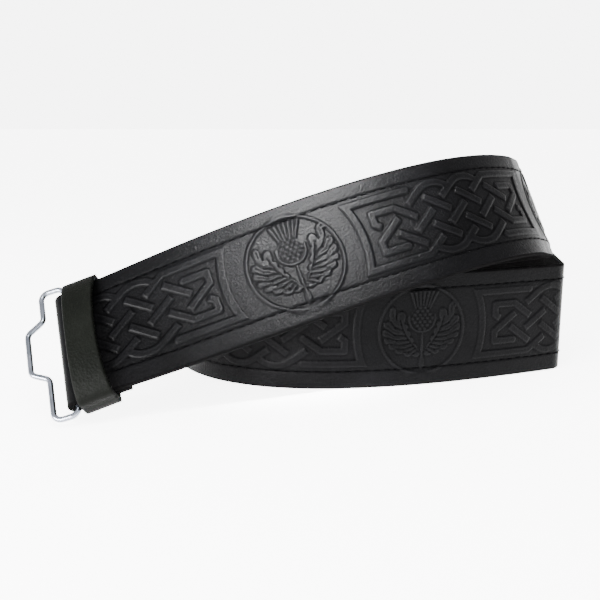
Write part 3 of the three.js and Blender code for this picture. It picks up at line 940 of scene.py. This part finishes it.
def make_wire(material):
    """The bent wire, a round tube closed on itself."""
    base, along, across, facing = bar_frame()
    axis = unit(across + along * SKEW)
    outward = np.cross(facing, axis)
    line = wire_line()
    points = base + axis * WIRE["slide"] + outward * line[:, 0:1] + axis * line[:, 1:2]
    way = unit_rows(np.roll(points, -1, axis=0) - points)
    way = unit_rows(way + np.roll(way, 1, axis=0))
    normals = np.repeat(facing[None, :], len(points), axis=0)
    rows = tube_rows(points, way, normals, np.full(len(points), BAR_RADIUS), WIRE_SIDES)
    faces = grid_faces(len(points), WIRE_SIDES, True)
    piece = new_mesh("wire_ring", rows.reshape(-1, 3), faces, material, "frame")
    return piece


def new_material(name):
    """A material with its nodes, links and main shader."""
    material = bpy.data.materials.new(name)
    material.use_nodes = True
    nodes = material.node_tree.nodes
    return material, nodes, material.node_tree.links, nodes["Principled BSDF"]


def add_node(nodes, kind, **inputs):
    """A node with some of its inputs set. Underscores stand for spaces."""
    node = nodes.new(kind)
    for key, value in inputs.items():
        node.inputs[key.replace("_", " ")].default_value = value
    return node


def ramp(nodes, low, high, low_colour, high_colour):
    """A colour ramp between two colours."""
    node = nodes.new("ShaderNodeValToRGB")
    node.color_ramp.elements[0].position = low
    node.color_ramp.elements[0].color = (*low_colour, 1)
    node.color_ramp.elements[1].position = high
    node.color_ramp.elements[1].color = (*high_colour, 1)
    return node


def bumped(nodes, links, shader, layers):
    """Chains bump nodes, each a (height output, strength, distance in metres)."""
    last = None
    for output, strength, distance in layers:
        bump = nodes.new("ShaderNodeBump")
        bump.inputs["Strength"].default_value = strength
        bump.inputs["Distance"].default_value = distance
        links.new(output, bump.inputs["Height"])
        if last is not None:
            links.new(last.outputs["Normal"], bump.inputs["Normal"])
        last = bump
    links.new(last.outputs["Normal"], shader.inputs["Normal"])


def leather(name, dark, light, roughness, grain, specular):
    """Finished leather: a pebbled grain, fine pores, a slow change of colour, and painted shade that darkens
    its hollows.
    """
    material, nodes, links, shader = new_material(name)
    place = nodes.new("ShaderNodeTexCoord")
    slow = add_node(nodes, "ShaderNodeTexNoise", Scale=45.0, Detail=4.0, Roughness=0.6)
    pebbles = nodes.new("ShaderNodeTexVoronoi")
    pebbles.feature = "SMOOTH_F1"
    pebbles.inputs["Scale"].default_value = 1000.0
    pores = add_node(nodes, "ShaderNodeTexNoise", Scale=2600.0, Detail=3.0, Roughness=0.65)
    creases = add_node(nodes, "ShaderNodeTexNoise", Scale=420.0, Detail=5.0, Roughness=0.7, Distortion=0.6)
    for node in (slow, pebbles, pores, creases):
        links.new(place.outputs["Object"], node.inputs["Vector"])
    colour = ramp(nodes, 0.3, 0.72, dark, light)
    links.new(slow.outputs["Fac"], colour.inputs["Fac"])
    # Painted shade and highlight: the hollow depth scales colour and gloss, down to 0.3 in grooves and up to
    # 1.25 on crests.
    pressed = nodes.new("ShaderNodeAttribute")
    pressed.attribute_name = "hollow_shade"
    shade_share = add_node(
        nodes, "ShaderNodeMapRange", From_Min=-0.12, From_Max=0.16, To_Min=1.25, To_Max=0.3
    )
    links.new(pressed.outputs["Fac"], shade_share.inputs["Value"])
    shaded_colour = nodes.new("ShaderNodeVectorMath")
    shaded_colour.operation = "SCALE"
    links.new(colour.outputs["Color"], shaded_colour.inputs["Vector"])
    links.new(shade_share.outputs["Result"], shaded_colour.inputs["Scale"])
    links.new(shaded_colour.outputs["Vector"], shader.inputs["Base Color"])
    shaded_shine = nodes.new("ShaderNodeMath")
    shaded_shine.operation = "MULTIPLY"
    shaded_shine.inputs[1].default_value = specular
    links.new(shade_share.outputs["Result"], shaded_shine.inputs[0])
    links.new(shaded_shine.outputs["Value"], shader.inputs["Specular IOR Level"])
    gloss = add_node(nodes, "ShaderNodeMapRange", From_Min=0.3, From_Max=0.7,
                     To_Min=roughness - 0.05, To_Max=roughness + 0.07)
    links.new(creases.outputs["Fac"], gloss.inputs["Value"])
    links.new(gloss.outputs["Result"], shader.inputs["Roughness"])
    bumped(nodes, links, shader, [
        (creases.outputs["Fac"], 0.5 * grain, 0.0004),
        (pebbles.outputs["Distance"], 0.6 * grain, 0.0003),
        (pores.outputs["Fac"], 0.5 * grain, 0.0002),
    ])
    return material


def raw_leather():
    """The dull flesh side and cut edges: fibrous, with hardly any gloss."""
    material, nodes, links, shader = new_material("raw_leather")
    place = nodes.new("ShaderNodeTexCoord")
    fibres = add_node(nodes, "ShaderNodeTexNoise", Scale=900.0, Detail=6.0, Roughness=0.75, Distortion=1.2)
    links.new(place.outputs["Object"], fibres.inputs["Vector"])
    colour = ramp(nodes, 0.3, 0.75, (0.0005, 0.0005, 0.0006), (0.0018, 0.0017, 0.0017))
    links.new(fibres.outputs["Fac"], colour.inputs["Fac"])
    links.new(colour.outputs["Color"], shader.inputs["Base Color"])
    shader.inputs["Roughness"].default_value = 0.85
    shader.inputs["Specular IOR Level"].default_value = 0.01
    bumped(nodes, links, shader, [(fibres.outputs["Fac"], 0.8, 0.0004)])
    return material


def thread_material():
    material, nodes, links, shader = new_material("black_thread")
    place = nodes.new("ShaderNodeTexCoord")
    ply = add_node(nodes, "ShaderNodeTexWave", Scale=900.0, Distortion=1.5, Detail=1.0)
    links.new(place.outputs["Object"], ply.inputs["Vector"])
    colour = ramp(nodes, 0.2, 0.8, (0.0002, 0.0002, 0.0003), (0.0007, 0.0007, 0.0008))
    links.new(ply.outputs["Fac"], colour.inputs["Fac"])
    links.new(colour.outputs["Color"], shader.inputs["Base Color"])
    shader.inputs["Roughness"].default_value = 0.7
    shader.inputs["Specular IOR Level"].default_value = 0.012
    bumped(nodes, links, shader, [(ply.outputs["Fac"], 0.6, 0.0002)])
    return material


def steel_material():
    material, nodes, links, shader = new_material("bright_wire")
    place = nodes.new("ShaderNodeTexCoord")
    drawn = add_node(nodes, "ShaderNodeTexNoise", Scale=300.0, Detail=4.0, Roughness=0.6)
    spots = add_node(nodes, "ShaderNodeTexNoise", Scale=90.0, Detail=3.0, Roughness=0.5)
    for node in (drawn, spots):
        links.new(place.outputs["Object"], node.inputs["Vector"])
    colour = ramp(nodes, 0.35, 0.7, (0.1, 0.11, 0.13), (0.17, 0.18, 0.21))
    links.new(spots.outputs["Fac"], colour.inputs["Fac"])
    links.new(colour.outputs["Color"], shader.inputs["Base Color"])
    shader.inputs["Metallic"].default_value = 1.0
    gloss = add_node(nodes, "ShaderNodeMapRange", From_Min=0.3, From_Max=0.7, To_Min=0.16, To_Max=0.3)
    links.new(drawn.outputs["Fac"], gloss.inputs["Value"])
    links.new(gloss.outputs["Result"], shader.inputs["Roughness"])
    bumped(nodes, links, shader, [(drawn.outputs["Fac"], 0.15, 0.0002)])
    return material


def floor_material():
    """A pale floor that glows a little, so that it reads as white as the photo's ground."""
    material, _, _, shader = new_material("pale_floor")
    shader.inputs["Base Color"].default_value = (0.9, 0.9, 0.9, 1)
    shader.inputs["Roughness"].default_value = 0.9
    shader.inputs["Emission Color"].default_value = (1, 1, 1, 1)
    shader.inputs["Emission Strength"].default_value = 5.2
    return material


def make_floor():
    """A wide pale floor, just under the belt."""
    reach, depth = 40.0, 0.0002
    corners = [(-reach, -reach), (reach, -reach), (reach, reach), (-reach, reach)]
    mesh = bpy.data.meshes.new("floor")
    mesh.from_pydata([(x, y, -depth) for x, y in corners], [], [[0, 1, 2, 3]])
    mesh.materials.append(floor_material())
    floor = bpy.data.objects.new("floor", mesh)
    bpy.context.scene.collection.objects.link(floor)


def add_light(name, kind, place, target, power):
    """A light at a place, aimed at a target."""
    data = bpy.data.lights.new(name, kind)
    data.energy = power
    light = bpy.data.objects.new(name, data)
    light.location = place
    light.rotation_euler = (Vector(target) - Vector(place)).to_track_quat("-Z", "Y").to_euler()
    bpy.context.scene.collection.objects.link(light)
    return data


def add_panel(name, place, target, size, power):
    """A soft rectangular light."""
    data = add_light(name, "AREA", place, target, power)
    data.shape = "RECTANGLE"
    data.size, data.size_y = size


def add_spot(name, place, target, degrees, radius, power):
    """A narrow beam that fades from its middle to its rim."""
    data = add_light(name, "SPOT", place, target, power)
    data.spot_size = math.radians(degrees)
    data.spot_blend = 1.0
    data.shadow_soft_size = radius


def make_sky():
    """A studio that is bright all round near the floor and dim overhead."""
    world = bpy.data.worlds.new("studio")
    world.use_nodes = True
    nodes, links = world.node_tree.nodes, world.node_tree.links
    way = nodes.new("ShaderNodeTexCoord")
    height = nodes.new("ShaderNodeSeparateXYZ")
    links.new(way.outputs["Generated"], height.inputs["Vector"])
    level = add_node(
        nodes, "ShaderNodeMapRange", From_Min=0.14, From_Max=0.3, To_Min=6.5, To_Max=2.2
    )
    level.interpolation_type = "SMOOTHSTEP"
    links.new(height.outputs["Z"], level.inputs["Value"])
    background = nodes["Background"]
    background.inputs["Color"].default_value = (1, 1, 1, 1)
    links.new(level.outputs["Result"], background.inputs["Strength"])
    bpy.context.scene.world = world


def make_studio():
    """The sky, a low light at the front left, and the lights that make the front run's sheen."""
    make_sky()
    above = (0.04, -0.6, 0.87)
    add_panel("front", (-0.8, -1.0, 0.22), (0.0, -0.05, 0.05), (0.9, 0.36), 130.0)
    add_panel("key", above, (-0.005, -0.085, 0.07), (0.4, 0.1), 14.0)
    add_spot("sheen", above, (-0.013, -0.0755, 0.1278), 5.8, 0.06, 2500.0)


def make_camera():
    """The photo's view, as fitted to its outline."""
    elevation = math.radians(CAMERA["elevation"])
    target = np.array(CAMERA["target"]) + SHIFT
    way = np.array([0.0, -math.cos(elevation), math.sin(elevation)])
    place = target + CAMERA["distance"] * way
    data = bpy.data.cameras.new("camera")
    data.sensor_fit = "HORIZONTAL"
    data.sensor_width = CAMERA["sensor"]
    data.lens = CAMERA["focal_pixels"] / CAMERA["image_pixels"] * CAMERA["sensor"]
    data.clip_start = 0.01
    camera = bpy.data.objects.new("camera", data)
    camera.location = place * MM
    camera.rotation_euler = (math.radians(90.0) - elevation, 0.0, 0.0)
    bpy.context.scene.collection.objects.link(camera)
    bpy.context.scene.camera = camera


make_camera()
make_studio()
make_floor()

black_leather = leather(
    "black_leather", (0.0006, 0.0006, 0.0007), (0.0013, 0.0013, 0.0015),
    roughness=0.36, grain=0.7, specular=0.027,
)
keeper_leather = leather(
    "keeper_leather", (0.0008, 0.001, 0.0007), (0.0017, 0.002, 0.0015),
    roughness=0.5, grain=0.8, specular=0.028,
)
thread = thread_material()
strap_pieces = make_strap((black_leather, raw_leather()))
for piece in strap_pieces:
    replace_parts(piece, "strap")
make_stitches("stitches_front", STITCH_LINES, 1, 19.0, BELT_LENGTH - 3.0, thread)
make_stitches("stitches_back", STITCH_LINES, -1, 50.0, BELT_LENGTH - 3.0, thread)
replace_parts(make_keeper(keeper_leather), "keeper")
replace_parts(make_wire(steel_material()), "wire_frame")


def plain(corners):
    """Corners as plain lists of numbers."""
    return [[float(value) for value in corner] for corner in corners]
